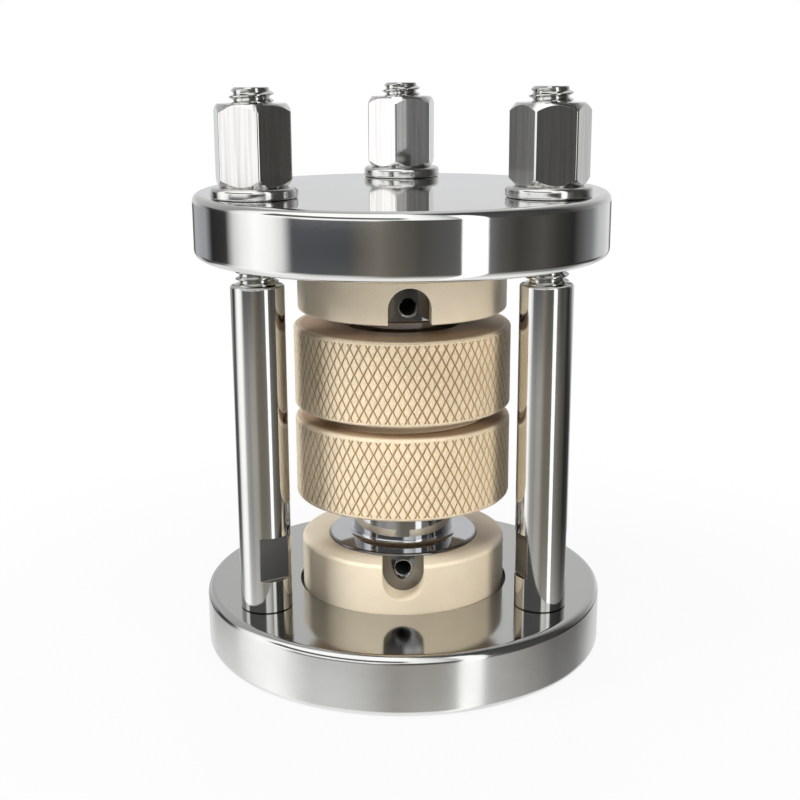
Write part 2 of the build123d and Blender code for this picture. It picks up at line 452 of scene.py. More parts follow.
class Nodes:
    """A tree of shader nodes being built."""

    def __init__(self, tree):
        self.tree = tree
        tree.nodes.clear()

    def node(self, kind, settings=None, inputs=None, output=0):
        """Add a node: settings first, then the values or links of its sockets."""
        node = self.tree.nodes.new("ShaderNode" + kind)
        for key, value in (settings or {}).items():
            if key == "stops":
                self.set_stops(node.color_ramp, value)
            else:
                setattr(node, key, value)
        for key, value in (inputs or {}).items():
            if isinstance(value, Value):
                self.tree.links.new(value.socket, node.inputs[key])
            else:
                node.inputs[key].default_value = value
        return Value(self, node.outputs[output]) if node.outputs else None

    def set_stops(self, ramp, stops):
        """Give a colour ramp its stops, each a position and a colour."""
        ramp.elements.remove(ramp.elements[1])
        ramp.elements[0].position, ramp.elements[0].color = stops[0]
        for position, tint in stops[1:]:
            ramp.elements.new(position).color = tint

    def parts_of(self, point):
        """The three coordinates of a point."""
        split = self.node("SeparateXYZ", inputs={0: point})
        return [Value(self, socket) for socket in split.socket.node.outputs]

    def ray(self, kind):
        """1 for one kind of ray, 0 for the others."""
        return self.node("LightPath", output=f"Is {kind} Ray")

    def seen(self):
        """1 for what the camera sees, straight or through something clear."""
        return self.ray("Camera") + self.ray("Transmission")

    def mixed(self, factor, first, second):
        """Colour between two colours."""
        return self.node("Mix", {"data_type": "RGBA"}, {0: factor, 6: first, 7: second}, output=2)

    def mixed_shader(self, factor, first, second):
        """Shader between two shaders."""
        return self.node("MixShader", inputs={0: factor, 1: first, 2: second})

    def glow(self, kind, tint, strength):
        """Emission of a surface or background of a world."""
        return self.node(kind, inputs={"Color": tint, "Strength": strength})


class Finish(Nodes):
    """A material being made."""

    def __init__(self, name):
        self.material = bpy.data.materials.new(name)
        self.material.use_nodes = True
        super().__init__(self.material.node_tree)

    def vector(self, operation, first, second):
        """Point worked out by one Vector Math node."""
        return self.node("VectorMath", {"operation": operation}, {0: first, 1: second})

    def point(self):
        """Place on the piece, in metres."""
        return self.node("TexCoord", output="Object")

    def point_from(self, centre):
        """Place on the piece from a centre, in metres."""
        return self.vector("SUBTRACT", self.point(), centre)

    def from_axis(self, centre=(0, 0, 0)):
        """Distance from an upright axis, and height."""
        x, y, height = self.parts_of(self.point_from(centre))
        return (x * x + y * y) ** 0.5, height

    def noise(self, scale, detail, point=None):
        """Noise in space, on the piece itself where no point is given."""
        inputs = {"Vector": point or self.point(), "Scale": scale, "Detail": detail}
        return self.node("TexNoise", inputs=inputs)

    def line_noise(self, along, scale):
        """Noise along one line."""
        inputs = {"W": along, "Scale": scale, "Detail": 3.0, "Roughness": 0.6}
        return self.node("TexNoise", {"noise_dimensions": "1D"}, inputs)

    def turning_marks(self, radius, height, scale):
        """Fine marks that a lathe leaves on faces and round sides."""
        return self.line_noise(radius, scale) + self.line_noise(height, scale)

    def bump(self, height, distance):
        """Normal raised by a height from 0 to 1."""
        return self.node("Bump", inputs={"Height": height, "Distance": distance, "Strength": 1.0})

    def closed(self, shader):
        """Close the material with a shader."""
        self.node("OutputMaterial", inputs={"Surface": shader})
        return self.material

    def surface(self, **inputs):
        """Close the material with the main shader."""
        named = {key.replace("_", " "): value for key, value in inputs.items()}
        return self.closed(self.node("BsdfPrincipled", inputs=named))


def shade(value, factor=1.0):
    """An opaque colour, made lighter or darker."""
    return tuple(min(1.0, channel * factor) for channel in value) + (1.0,)


# How bright some stretches of a metal are beside the rest of it
# Milled flats: rougher steel, painted darker as a painted dark reflection
MILLED_SHADE = 0.26
# Painted contact shadow in a thin band at a post's foot
PAINTED_FOOT_SHADOW = 0.1
FACE_SHADE = 0.76
# Painted shade on the walls and floor of the base plate's recess round the lower cup
RECESS_SHADE = 0.06
# Painted dark reflection on an electrode flange's rim
RIM_SHADE = 0.4
# Painted shade deep in a lead socket, where the chrome turns matt black
SOCKET_SHADE = 0.02


def turned_steel(name, tint, centre, roughness, grooves, milled=None, face=None):
    """Steel with fine turning marks round one axis and faint smudges.

    A post has dull milled flats with a painted dark reflection and a painted shadow at its foot, given
    by its radius, its foot and both ends of the flats. A base has a clearer rim, a greyer face and
    painted shade in its recess, given by the face's height and the radius of the recess.
    """
    finish = Finish(name)
    radius, height = finish.from_axis(centre)
    marks = finish.turning_marks(radius, height, 9000) * 0.5
    smudge = finish.noise(70, 3)
    speck = finish.noise(2500, 2)
    cloudy = 1 - 0.06 * grooves
    polish = finish.mixed(smudge.between(0.3, 0.75), shade(tint, 1.03), shade(tint, cloudy))
    uneven = (marks - 0.5) * 0.1 * grooves + (speck + smudge - 1.0) * 0.05 * grooves
    if milled:
        outer, foot, low, high = milled
        inset = 0.05 * MM
        blur = 0.1 * MM
        cut_away = (outer - radius).between(0.03 * MM, 0.1 * MM)
        flats = cut_away * height.inside(low + inset, high - inset, blur)
        # Painted contact shadow where the post stands on the base plate
        foot_shadow = 1 - height.between(foot + 0.15 * MM, foot + 0.25 * MM)
        # Painted dark reflection on the milled flats
        polish = finish.mixed(flats, polish, shade(tint, MILLED_SHADE))
        polish = finish.mixed(foot_shadow, polish, shade(tint, PAINTED_FOOT_SHADOW))
        uneven = uneven + flats * 0.22
    if face:
        level, recess = face
        upper_face = height.between(level - 0.35 * MM, level - 0.05 * MM)
        # Painted shade inside the recess, below the upper face
        painted_recess_shade = (1 - radius.between(recess, recess + 0.05 * MM)) * (1 - upper_face)
        rim = height.between(level - 1.9 * MM, level - 1.3 * MM)
        polish = finish.mixed(upper_face, polish, shade(tint, FACE_SHADE))
        polish = finish.mixed(painted_recess_shade, polish, shade(tint, RECESS_SHADE))
        uneven = uneven - rim * 0.06
    return finish.surface(
        Base_Color=polish,
        Metallic=1.0,
        Roughness=uneven + roughness,
        Normal=finish.bump(marks + speck, 1.5e-6 * grooves),
    )


def drawn_steel(name, tint, centre):
    """Bright hexagon bar with faint upright drawing lines."""
    finish = Finish(name)
    stretched = finish.vector("MULTIPLY", finish.point_from(centre), (1, 1, 0.03))
    lines = finish.noise(1600, 2, stretched)
    broad = finish.noise(380, 3, stretched)
    return finish.surface(
        Base_Color=finish.mixed(lines.between(0.35, 0.7), shade(tint, 1.05), shade(tint, 0.86)),
        Metallic=1.0,
        Roughness=lines * 0.06 + 0.04,
        Normal=finish.bump(lines * 0.3 + broad * 2.0, 2e-6),
    )


def mirror_chrome(name, tint, flange, socket_height, socket):
    """Mirror finish with faint wipe marks, a painted dark reflection on its rim and painted shade deep
    in the lead socket.
    """
    finish = Finish(name)
    radius, height = finish.from_axis()
    wipe = finish.noise(160, 3)
    inward = (flange - radius).between(0.4 * MM, 1.1 * MM)
    # Painted shade deep in the lead socket
    deep = inward * (1 - abs(height - socket_height).between(socket, socket * 1.1))
    # Painted dark reflection round the flange's rim
    rim = radius.between(flange - 0.5 * MM, flange - 0.1 * MM)
    polish = finish.mixed(wipe, shade(tint, 1.02), shade(tint, 0.95))
    polish = finish.mixed(rim, polish, shade(tint, RIM_SHADE))
    return finish.surface(
        Base_Color=finish.mixed(deep, polish, shade(tint, SOCKET_SHADE)),
        Metallic=1 - deep,
        Roughness=wipe * 0.04 + 0.03 + deep * 0.6,
        Normal=finish.bump(finish.turning_marks(radius, height, 3000), 6e-7),
    )


def turned_plastic(name, tint):
    """Natural beige plastic, matt, with faint turning marks."""
    finish = Finish(name)
    radius, height = finish.from_axis()
    cloud = finish.noise(110, 4)
    speck = finish.noise(2400, 2)
    base = finish.mixed(cloud.between(0.3, 0.7), shade(tint, 1.03), shade(tint, 0.95))
    marks = finish.turning_marks(radius, height, 5000)
    return finish.surface(
        Base_Color=finish.mixed(speck.between(0.62, 0.72) * 0.35, base, shade(tint, 0.8)),
        Roughness=cloud * 0.12 + 0.36,
        Specular_IOR_Level=0.3,
        Subsurface_Weight=0.06,
        Subsurface_Radius=(0.002, 0.0012, 0.0006),
        Subsurface_Scale=0.6,
        Normal=finish.bump(marks * 0.5 + speck * 0.3, 6e-6),
    )


def knurled_plastic(name, tint, cut, groove, crest, depth, bands):
    """Beige plastic with painted shade on its end faces and bores, and darker grooves in some bands of
    knurl: their own ochre deepened by painted shade.
    """
    finish = Finish(name)
    radius, height = finish.from_axis()
    cloud = finish.noise(110, 4)
    speck = finish.noise(1500, 3)
    grain = finish.noise(3200, 2)
    ragged = radius + (speck - 0.5) * (0.06 * MM)
    raised_part = ragged.between(crest - 0.5 * depth, crest - 0.16 * depth)
    near_wall = radius.between(crest - 3.0 * depth, crest - 2.0 * depth)
    blur = 0.02 * MM
    knurled = sum(height.inside(low - blur, top + blur, blur) for low, top in bands)
    # Grooves and their walls: their own ochre tone together with painted shade
    groove_tone_and_shade = (1 - raised_part) * near_wall * knurled
    dark_grain = grain.between(0.5, 0.68) * 0.5
    pale_grain = 0.7 - grain.between(0.33, 0.43) * 0.7
    outside = radius.between(crest - 1.6 * MM, crest - 0.9 * MM)
    grainy = finish.mixed(cloud.between(0.3, 0.7), shade(tint, 1.14), shade(tint, 1.05))
    grainy = finish.mixed(dark_grain, grainy, shade(tint, 0.8))
    grainy = finish.mixed(pale_grain, grainy, shade(tint, 1.22))
    # Painted shade on the end faces, bore and thread inside the knurl's outer part
    grainy = finish.mixed(outside, shade(cut), grainy)
    return finish.surface(
        Base_Color=finish.mixed(groove_tone_and_shade, grainy, shade(groove)),
        Roughness=groove_tone_and_shade * 0.2 + cloud * 0.1 + 0.38,
        Specular_IOR_Level=0.3,
        Normal=finish.bump(speck, 4e-5),
    )


def plain_finish(name, tint, roughness, grain):
    """Soft one-colour material with a slight grain."""
    finish = Finish(name)
    cloud = finish.noise(grain, 3)
    return finish.surface(
        Base_Color=finish.mixed(cloud, shade(tint, 1.05), shade(tint, 0.9)),
        Roughness=cloud * 0.1 + roughness,
        Normal=finish.bump(cloud, 5e-6),
    )


class MOLD_OT_plates(bpy.types.Operator):
    """Turn the base plate and the top plate"""

    bl_idname = "mold.plates"
    bl_label = "Plates"

    recess_edge = 0.15 * MM
    room_under_root = 0.6 * MM
    satin = {"roughness": 0.16, "grooves": 1.6}
    polished = {"roughness": 0.06, "grooves": 0.5}

    def execute(self, context):
        sizes = context.scene.mold_frame
        steel = context.scene.mold_colours.steel
        axis = (0, 0, 0)
        cup_low, cup_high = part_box("lower_cup")
        cup_radius = (cup_high.x - cup_low.x) / 2
        stud = sizes.stud_diameter / 2

        recess = cup_radius + sizes.base_recess_gap
        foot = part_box("post_left")[0].z - self.room_under_root
        base = self.plate(sizes, "base_plate", recess, cup_low.z, stud + sizes.thread_gap, foot)
        face = (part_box("base_plate")[1].z, recess)
        material = turned_steel("satin_turned_steel", steel, axis, **self.satin, face=face)
        finished(base, "turned_base_plate", "base", material, "base_plate")

        recess = cup_radius + sizes.top_recess_gap
        cup_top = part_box("upper_cup")[1].z
        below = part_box("top_plate")[0].z - PAST
        top = self.plate(sizes, "top_plate", recess, cup_top, stud + sizes.stud_hole_gap, below)
        material = turned_steel("polished_turned_steel", steel, axis, **self.polished)
        finished(top, "turned_top_plate", "plate", material, "top_plate")
        return {"FINISHED"}

    def plate(self, sizes, node, recess, recess_floor, hole, hole_bottom):
        """Round plate with rounded rims, a recess for its cup and a hole round each post's axis."""
        low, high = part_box(node)
        radius = (high.x - low.x) / 2
        if node == "base_plate":
            lip = high.z
            outline = [(0, low.z), (radius, low.z), (radius, lip), (recess, lip)]
            outline += [(recess, recess_floor), (0, recess_floor)]
        else:
            lip = low.z
            outline = [(0, recess_floor), (recess, recess_floor), (recess, lip)]
            outline += [(radius, lip), (radius, high.z), (0, high.z)]
        form = turned(outline)
        round_rim(form, radius, low.z, sizes.plate_rim, segments=8)
        round_rim(form, radius, high.z, sizes.plate_rim, segments=8)
        round_rim(form, recess, lip, self.recess_edge, segments=2)
        for post in POSTS:
            drill = turned(band(0, hole, hole_bottom, high.z + PAST), SMALL_STEPS)
            form = combined(form, placed(drill, Matrix.Translation(axis_of(f"post_{post}"))))
        return form


class MOLD_OT_posts(bpy.types.Operator):
    """Turn the three posts, cut their threads and mill their wrench flats"""

    bl_idname = "mold.posts"
    bl_label = "Posts"

    # Which way the wrench flats face, in degrees
    flat_turns = {"left": -60.0, "right": -163.0, "back": 25.0}
    thread_overlap = 0.5 * MM
    broken_edge = 0.06 * MM
    ground = {"roughness": 0.09, "grooves": 0.6}

    def execute(self, context):
        sizes = context.scene.mold_frame
        base_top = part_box("base_plate")[1].z
        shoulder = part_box("top_plate")[0].z - sizes.post_end_gap
        flat_low = base_top + sizes.flat_height
        flat_high = flat_low + sizes.flat_length
        overlap = self.thread_overlap
        for post in POSTS:
            node = f"post_{post}"
            low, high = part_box(node)
            radius = (high.x - low.x) / 2
            form = self.body(sizes, radius, base_top, shoulder)
            placed(form, Matrix.Rotation(math.radians(self.flat_turns[post]), 4, "Z"))
            stud = (shoulder - overlap, high.z, (0, sizes.stud_end))
            root = (low.z, base_top + overlap, (sizes.stud_end, 0))
            for bottom, top, chamfers in (stud, root):
                thread = threaded_rod(sizes.stud_diameter, sizes.stud_pitch, bottom, top, chamfers)
                form = combined(form, thread, "UNION")
            centre = axis_of(node)
            placed(form, Matrix.Translation(centre))
            material = turned_steel(
                f"ground_steel_{post}",
                context.scene.mold_colours.steel,
                centre,
                **self.ground,
                milled=(radius, base_top, flat_low, flat_high),
            )
            finished(form, f"threaded_{node}", "base", material, node)
        return {"FINISHED"}

    def body(self, sizes, radius, bottom, top):
        """Thick part of a post with its two wrench flats."""
        form = turned(band(0, radius, bottom, top), SMALL_STEPS)
        round_rim(form, radius, top, sizes.post_edge, segments=4)
        for side in (0.0, 180.0):
            cutter = self.flat_cutter(sizes, radius, bottom)
            form = combined(form, placed(cutter, Matrix.Rotation(math.radians(side), 4, "Z")))
        break_edges(form, self.broken_edge, angle=28, segments=1)
        return form

    def flat_cutter(self, sizes, radius, bottom):
        """Block that mills one flat, with the cutter's round at both ends."""
        form = bmesh.new()
        depth = radius
        wider_than_post = 2.4 * radius
        bmesh.ops.create_cube(form, size=1.0)
        bmesh.ops.scale(form, vec=(depth, wider_than_post, sizes.flat_length), verts=form.verts)
        inner = [edge for edge in form.edges if all(vert.co.x < 0 for vert in edge.verts)]
        bevel(form, [edge for edge in inner if rise_of(edge) < SAME], sizes.flat_corner, segments=5)
        middle = bottom + sizes.flat_height + sizes.flat_length / 2
        return placed(form, Matrix.Translation((sizes.flat_across / 2 + depth / 2, 0, middle)))


class MOLD_OT_washers(bpy.types.Operator):
    """Stamp the three washers"""

    bl_idname = "mold.washers"
    bl_label = "Washers"

    bore_gap = 0.3 * MM
    bore_edge = 0.2 * MM
    tumbled = {"roughness": 0.14, "grooves": 1.6}

    def execute(self, context):
        sizes = context.scene.mold_frame
        steel = context.scene.mold_colours.steel
        bore = sizes.stud_diameter / 2 + self.bore_gap
        for post in POSTS:
            node = f"washer_{post}"
            low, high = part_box(node)
            radius = (high.x - low.x) / 2
            form = turned(band(bore, radius, low.z, high.z), SMALL_STEPS)
            round_rim(form, radius, high.z, sizes.washer_edge, segments=6)
            round_rim(form, radius, low.z, sizes.washer_foot, segments=4)
            round_rim(form, bore, high.z, self.bore_edge, segments=2)
            centre = axis_of(node)
            placed(form, Matrix.Translation(centre))
            material = turned_steel(f"tumbled_steel_{post}", steel, centre, **self.tumbled)
            finished(form, f"stamped_{node}", "plate", material, node)
        return {"FINISHED"}


class MOLD_OT_hex_nuts(bpy.types.Operator):
    """Cut the three tall hexagon nuts, with their chamfers and threads"""

    bl_idname = "mold.hex_nuts"
    bl_label = "Hexagon nuts"

    # Which way the hexagons face, in degrees
    turns = {"left": 13.6, "right": 33.6, "back": 50.5}
    broken_edge = 0.1 * MM
    mouth_gap = 0.4 * MM

    def execute(self, context):
        sizes = context.scene.mold_frame
        steel = context.scene.mold_colours.bright_steel
        for post in POSTS:
            node = f"hex_nut_{post}"
            low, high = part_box(node)
            bar = self.hexagon(sizes, low.z, high.z)
            nut = combined(bar, self.envelope(sizes, low.z, high.z), "INTERSECT")
            break_edges(nut, self.broken_edge, angle=25, segments=2)
            placed(nut, Matrix.Rotation(math.radians(self.turns[post]), 4, "Z"))
            nut = combined(nut, self.tap(sizes, low.z, high.z))
            centre = axis_of(node)
            placed(nut, Matrix.Translation(centre))
            material = drawn_steel(f"drawn_steel_{post}", steel, centre)
            finished(nut, f"hexagon_nut_{post}", f"nut_{post}", material, node)
        return {"FINISHED"}

    def tap(self, sizes, bottom, top):
        """Thread that cuts right through a nut."""
        ends = (bottom - sizes.stud_pitch, top + sizes.stud_pitch)
        return threaded_rod(sizes.stud_diameter, sizes.stud_pitch, *ends, grow=sizes.thread_gap)

    def hexagon(self, sizes, bottom, top):
        """Hexagon bar with its upright corners rounded."""
        form = bmesh.new()
        corner = sizes.nut_across / math.sqrt(3)
        bmesh.ops.create_cone(
            form, cap_ends=True, segments=6, radius1=corner, radius2=corner, depth=top - bottom
        )
        raised(form, (bottom + top) / 2)
        bevel(form, [edge for edge in form.edges if rise_of(edge) > MM], sizes.nut_corner, segments=4)
        return form

    def envelope(self, sizes, bottom, top):
        """Turned outline that chamfers both ends of the bar and opens its bore."""
        corner = sizes.nut_across / math.sqrt(3)
        end = corner - sizes.nut_chamfer_width
        wide = corner + sizes.nut_chamfer_width
        rise = 2 * sizes.nut_chamfer_height
        bore = sizes.stud_diameter / 2 - sizes.stud_pitch
        mouth = sizes.stud_diameter / 2 + self.mouth_gap
        depth = mouth - bore
        outline = [(mouth, bottom), (end, bottom), (wide, bottom + rise), (wide, top - rise)]
        outline += [(end, top), (mouth, top), (bore, top - depth), (bore, bottom + depth)]
        return turned(outline, SMALL_STEPS)


class MOLD_OT_cups(bpy.types.Operator):
    """Turn both insulating cups and mill their notches"""

    bl_idname = "mold.cups"
    bl_label = "Cups"

    pocket_gap = 0.08 * MM
    notch_edge = 0.12 * MM

    def execute(self, context):
        material = turned_plastic("turned_pale_plastic", context.scene.mold_colours.cup_plastic)
        for end, body in zip(ENDS, ("base", "plate")):
            node = f"{end}_cup"
            low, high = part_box(node)
            form = self.cup(context.scene.mold_cell, (high.y - low.y) / 2, high.z - low.z)
            seated(form, end, low, high)
            finished(form, f"notched_{node}", body, material, node)
        return {"FINISHED"}

    def cup(self, sizes, radius, height):
        """Cup with its mouth up and its notch towards the camera."""
        pocket = sizes.flange_diameter / 2 + self.pocket_gap
        outline = [(0, 0), (radius, 0), (radius, height), (pocket, height)]
        outline += [(pocket, sizes.cup_web), (0, sizes.cup_web)]
        form = turned(outline)
        round_rim(form, radius, height, sizes.cup_edge, segments=6)
        round_rim(form, radius, 0, HIDDEN_EDGE, segments=2)
        form = combined(form, self.notch_cutter(sizes, radius, height))
        break_edges(form, self.notch_edge, angle=50, segments=2)
        return form

    def notch_cutter(self, sizes, radius, height):
        """Round-ended bar that mills the notch."""
        half = sizes.notch_width / 2
        form = bmesh.new()
        start = form.verts.new((half, 0, 0))
        spin(form, [start], math.pi, steps=32, axis=(0, 1, 0))
        ends = [vert for vert in form.verts if abs(vert.co.z) < SAME]
        upper = [form.verts.new((vert.co.x, 0, 2 * sizes.notch_depth)) for vert in ends]
        for pair in zip(ends, upper):
            form.edges.new(pair)
        form.edges.new(upper)
        bmesh.ops.holes_fill(form, edges=form.edges, sides=0)
        swept = bmesh.ops.extrude_face_region(form, geom=list(form.faces))["geom"]
        moved = [item for item in swept if isinstance(item, bmesh.types.BMVert)]
        bmesh.ops.translate(form, vec=(0, -2 * radius, 0), verts=moved)
        facing_out(form)
        inside_pocket = -0.25 * radius
        centre = height - sizes.notch_depth + half
        return placed(form, Matrix.Translation((0, inside_pocket, centre)))


class MOLD_OT_electrodes(bpy.types.Operator):
    """Turn both electrodes and tap their lead sockets"""

    bl_idname = "mold.electrodes"
    bl_label = "Electrodes"

    socket_end = 0.4 * MM
    lip_share = 0.92

    def execute(self, context):
        sizes = context.scene.mold_cell
        chrome = context.scene.mold_colours.chrome
        flange = sizes.flange_diameter / 2
        socket = sizes.socket_diameter / 2
        to_socket = sizes.flange_thickness - sizes.socket_inset
        for end, body in zip(ENDS, ("base", "plate")):
            node = f"{end}_electrode"
            low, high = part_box(node)
            form = seated(self.electrode(sizes, high.z - low.z), end, low, high)
            socket_height = low.z + to_socket if end == "lower" else high.z - to_socket
            material = mirror_chrome(f"mirror_chrome_{end}", chrome, flange, socket_height, socket)
            finished(form, f"polished_{node}", body, material, node)
        return {"FINISHED"}

    def electrode(self, sizes, height):
        """Electrode with its flange down and its socket towards the camera."""
        flange = sizes.flange_diameter / 2
        face = sizes.flange_thickness
        rod = sizes.rod_diameter / 2
        form = turned([(0, 0), (flange, 0), (flange, face), (rod, face), (rod, height), (0, height)])
        round_rim(form, rod, face, sizes.rod_root, segments=6)
        round_rim(form, flange, face, sizes.flange_edge, segments=5)
        round_rim(form, flange, 0, HIDDEN_EDGE, segments=2)
        round_rim(form, rod, height, HIDDEN_EDGE, segments=2)
        crest = sizes.socket_diameter / 2
        lip = self.lip_share * crest
        cone = turned([(0, -lip), (lip, 0), (2 * lip, lip), (0, lip)], SMALL_STEPS)
        chamfers = (self.socket_end, 0)
        thread = threaded_rod(
            2 * crest, sizes.socket_pitch, -sizes.socket_depth, crest, chamfers, steps=40
        )
        outward = Matrix.Translation((0, -flange, face - sizes.socket_inset)) @ LAID_DOWN
        for tool in (cone, thread):
            form = combined(form, placed(tool, outward))
        return form


class MOLD_OT_sealed_cell(bpy.types.Operator):
    """Thread the sleeve and turn the seals and thrust rings inside the ring nuts"""

    bl_idname = "mold.sealed_cell"
    bl_label = "Sealed cell"

    thrust_bore_gap = 0.15 * MM
    thrust_edge = 0.15 * MM
    sleeve_bore_gap = 0.05 * MM
    seal_room = 0.1 * MM
    sleeve_end = 0.8 * MM

    def execute(self, context):
        sizes = context.scene.mold_cell
        colours = context.scene.mold_colours
        # The sleeve's plastic is the ring nuts' plastic with painted shade
        beige = turned_plastic("turned_beige_plastic", colours.shaded_sleeve_plastic)
        finished(self.sleeve(sizes), "threaded_sleeve", "cell", beige, "cell_sleeve")
        rubber = plain_finish("black_rubber", colours.rubber, 0.45, 900)
        white = plain_finish("white_thrust_plastic", colours.thrust, 0.35, 400)
        bore = sizes.rod_diameter / 2 + self.thrust_bore_gap
        for end in ENDS:
            node = f"{end}_seal"
            low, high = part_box(node)
            seal = self.seal(high.x, (high.z - low.z) / 2, (high.z + low.z) / 2)
            finished(seal, f"round_{node}", "cell", rubber, node)
            node = f"{end}_thrust_ring"
            low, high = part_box(node)
            ring = turned(band(bore, high.x, low.z, high.z))
            break_edges(ring, self.thrust_edge, angle=60, segments=2)
            finished(ring, f"turned_{node}", f"{end}_gland", white, node)
        return {"FINISHED"}

    def sleeve(self, sizes):
        """Threaded sleeve with its bore and a seal pocket in each end."""
        low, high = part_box("cell_sleeve")
        seal_low, seal_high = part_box("upper_seal")
        bore = sizes.rod_diameter / 2 + self.sleeve_bore_gap
        depth = seal_high.z - seal_low.z + self.seal_room
        pocket = bore + depth
        bottom = low.z - PAST
        top = high.z + PAST
        outline = [(0, bottom), (pocket, bottom), (pocket, low.z + depth), (bore, low.z + depth)]
        outline += [(bore, high.z - depth), (pocket, high.z - depth), (pocket, top), (0, top)]
        ends = (self.sleeve_end, self.sleeve_end)
        form = threaded_rod(2 * high.x, sizes.sleeve_pitch, low.z, high.z, ends, CELL_STEPS)
        return combined(form, turned(outline, CELL_STEPS))

    def seal(self, outer, section, height):
        """Round-section seal."""
        form = bmesh.new()
        bmesh.ops.create_circle(form, segments=32, radius=section)
        placed(form, Matrix.Translation((outer - section, 0, height)) @ LAID_DOWN)
        return spun(form, everything(form), SMALL_STEPS)


class MOLD_OT_ring_nuts(bpy.types.Operator):
    """Knurl both ring nuts and cut their threads"""

    bl_idname = "mold.ring_nuts"
    bl_label = "Ring nuts"

    land_share = 0.2
    crown_spread = 1.6
    groove_gap = 0.1 * MM
    thread_gap = 0.05 * MM

    def execute(self, context):
        sizes = context.scene.mold_cell
        colours = context.scene.mold_colours
        low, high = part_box("upper_ring_nut")
        crest = (high.x - low.x) / 2
        plain = sizes.ring_chamfer + sizes.knurl_land
        boxes = [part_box(f"{end}_ring_nut") for end in ENDS]
        material = knurled_plastic(
            "knurled_beige_plastic",
            colours.plastic,
            colours.shaded_end_plastic,
            colours.groove,
            crest,
            sizes.knurl_depth,
            [(low.z + plain, high.z - plain) for low, high in boxes],
        )
        for end, (low, high) in zip(ENDS, boxes):
            form = self.ring_nut(sizes, crest, high.z - low.z)
            if end == "upper":
                raised(form, low.z)
            else:
                placed(form, Matrix.Translation((0, 0, high.z)) @ Matrix.Rotation(math.pi, 4, "Y"))
            form = self.threaded(sizes, form, end, low.z, high.z)
            node = f"{end}_ring_nut"
            finished(form, f"knurled_{node}", f"{end}_ring", material, node)
        return {"FINISHED"}

    def diamond_column(self, sizes, crest, half):
        """One column of knurl diamonds, raised between their grooves."""
        pitch = math.tau / sizes.knurl_count
        tall = sizes.knurl_height
        rows = math.ceil(half / tall) + 1
        root = crest - sizes.knurl_depth
        form = bmesh.new()

        def corner(turn, height):
            return form.verts.new((root * math.sin(turn), -root * math.cos(turn), height))

        for row in range(-rows, rows + 1):
            for turn, height in ((0, row * tall), (pitch / 2, (row + 0.5) * tall)):
                form.faces.new(
                    (
                        corner(turn - pitch / 2, height),
                        corner(turn, height - tall / 2),
                        corner(turn + pitch / 2, height),
                        corner(turn, height + tall / 2),
                    )
                )
        bmesh.ops.remove_doubles(form, verts=form.verts, dist=SAME)
        diamonds = list(form.faces)
        wall = (sizes.knurl_groove, sizes.knurl_depth - sizes.knurl_crown)
        crown = (self.crown_spread * sizes.knurl_groove, sizes.knurl_crown)
        for width, rise in (wall, crown):
            bmesh.ops.inset_individual(form, faces=diamonds, thickness=width, depth=rise)
        return form

    def knurled_wall(self, sizes, crest, half):
        """All the diamonds, trimmed to a band about height 0."""
        form = self.diamond_column(sizes, crest, half)
        column = everything(form)
        for step in range(1, sizes.knurl_count):
            copy = bmesh.ops.duplicate(form, geom=column)["geom"]
            verts = [item for item in copy if isinstance(item, bmesh.types.BMVert)]
            turn = Matrix.Rotation(step * math.tau / sizes.knurl_count, 3, "Z")
            bmesh.ops.rotate(form, cent=(0, 0, 0), matrix=turn, verts=verts)
        bmesh.ops.remove_doubles(form, verts=form.verts, dist=SAME)
        for outward in (-1, 1):
            cut_off(form, outward * half, outward)
        return form

    def ring_nut(self, sizes, crest, height):
        """Ring nut from height 0, with its floor at the top."""
        half = height / 2 - sizes.ring_chamfer - sizes.knurl_land
        form = raised(self.knurled_wall(sizes, crest, half), height / 2)
        land = crest - sizes.knurl_depth * self.land_share
        bore = sizes.rod_diameter / 2 + sizes.ring_bore_gap
        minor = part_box("cell_sleeve")[1].x - THREAD_DEPTH * sizes.sleeve_pitch
        floor = height - sizes.ring_floor
        ends = []
        for end, inward in ((0, 1), (height, -1)):
            start = height / 2 - inward * half
            chamfer = end + inward * sizes.ring_chamfer
            rim = [
                edge
                for edge in form.edges
                if edge.is_boundary and all(abs(vert.co.z - start) < SAME for vert in edge.verts)
            ]
            steps = [(land, start), (land, chamfer), (land - sizes.ring_chamfer, end)]
            ends.append(self.walk(form, rim, steps))
        bottom = self.walk(form, ends[0], [(minor, 0), (minor, floor)])
        mouth = [(bore + sizes.ring_mouth, height), (bore, height - sizes.ring_mouth), (bore, floor)]
        top = self.walk(form, ends[1], mouth)
        bmesh.ops.bridge_loops(form, edges=bottom + top)
        return facing_out(form)

    def walk(self, form, rim, steps):
        """Draw a rim on through circles of given radius and height, and return the last one."""
        for radius, height in steps:
            made = bmesh.ops.extrude_edge_only(form, edges=rim)["geom"]
            rim = [item for item in made if isinstance(item, bmesh.types.BMEdge) and item.is_boundary]
            for vert in (item for item in made if isinstance(item, bmesh.types.BMVert)):
                vert.co.xy *= radius / radius_of(vert)
                vert.co.z = height
        return rim

    def threaded(self, sizes, form, end, low, high):
        """Cut the sleeve's thread and the thrust ring's groove into a ring nut."""
        major = 2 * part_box("cell_sleeve")[1].x
        ring_low, ring_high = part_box(f"{end}_thrust_ring")
        if end == "upper":
            thread_ends = (low - PAST, ring_low.z)
            groove_ends = (ring_low.z - self.groove_gap, ring_high.z)
        else:
            thread_ends = (ring_high.z, high + PAST)
            groove_ends = (ring_low.z, ring_high.z + self.groove_gap)
        thread = threaded_rod(
            major, sizes.sleeve_pitch, *thread_ends, steps=CELL_STEPS, grow=self.thread_gap
        )
        groove = turned(band(0, ring_high.x + self.groove_gap, *groove_ends), CELL_STEPS)
        return combined(combined(form, thread), groove)


